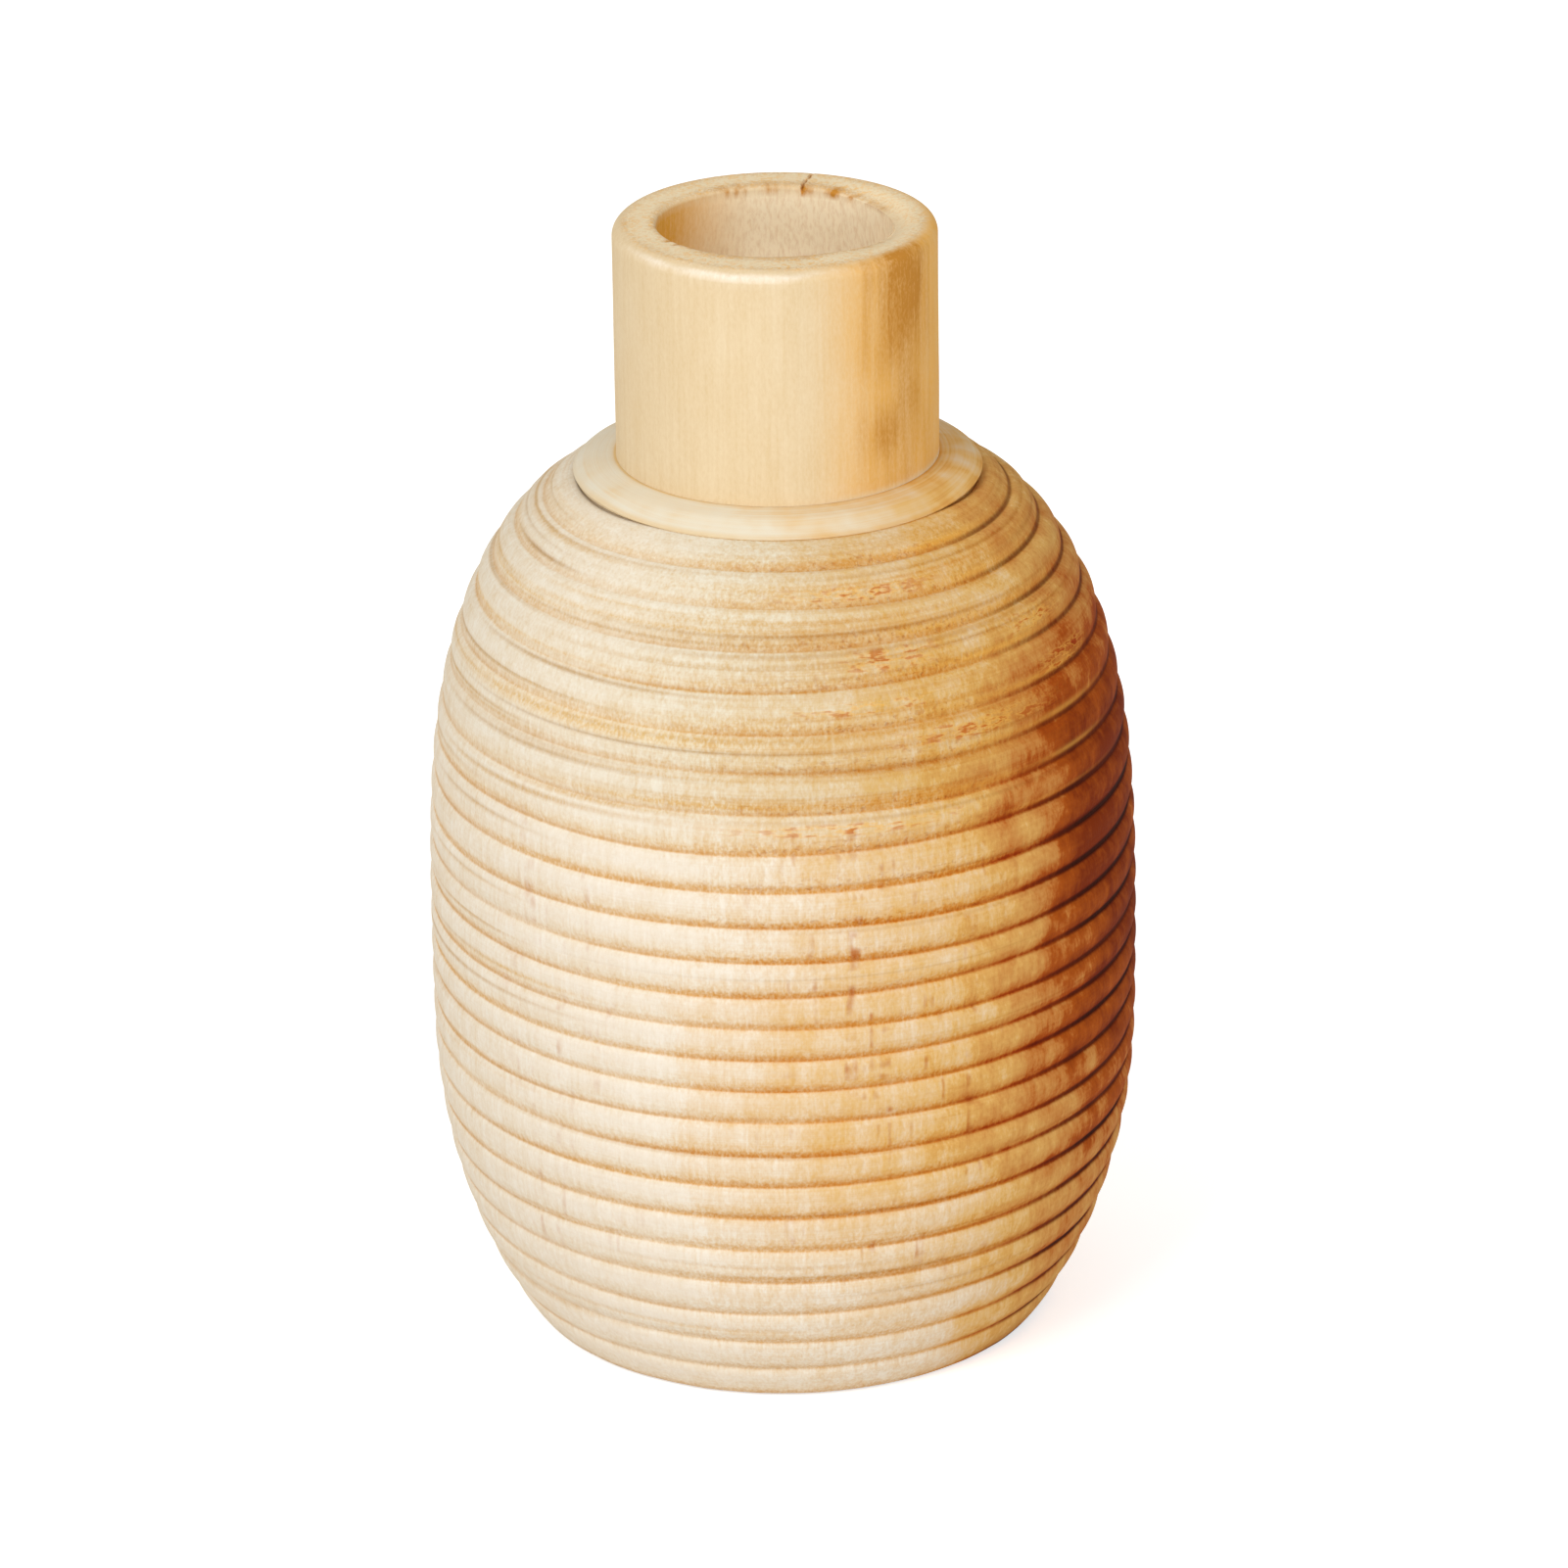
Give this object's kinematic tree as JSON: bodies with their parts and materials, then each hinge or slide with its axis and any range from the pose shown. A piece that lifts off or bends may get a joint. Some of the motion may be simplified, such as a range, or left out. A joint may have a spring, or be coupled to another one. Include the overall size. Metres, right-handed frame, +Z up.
{
  "type": "wooden vase",
  "caption": "Turned wooden vase: a plain cylindrical neck with a round mouth, a domed collar, and a hollow, barrel-shaped body with fine horizontal ribs and a flat padded foot.",
  "frame": {"origin": "middle of the underside, on the surface that the vase stands on", "axes": "+Z up along the turning axis; -Y is the side that the picture shows and +X is to its right"},
  "size_m": [0.1738, 0.1738, 0.28],
  "materials": {
    "neck_wood": "sanded, unvarnished, fine upright grain",
    "collar_wood": "turned, unvarnished, matte",
    "body_wood": "turned ribs, unvarnished, matte, short upright grain marks",
    "plug_wood": "sawn and sanded end grain, matte",
    "felt": "pressed felt"
  },
  "bodies": {
    "root": {"neck_tube": "neck_wood", "shoulder_collar": "collar_wood", "upper_body": "body_wood", "lower_body": "body_wood", "base_plug": "plug_wood", "felt_pad": "felt"}
  },
  "joints": []
}
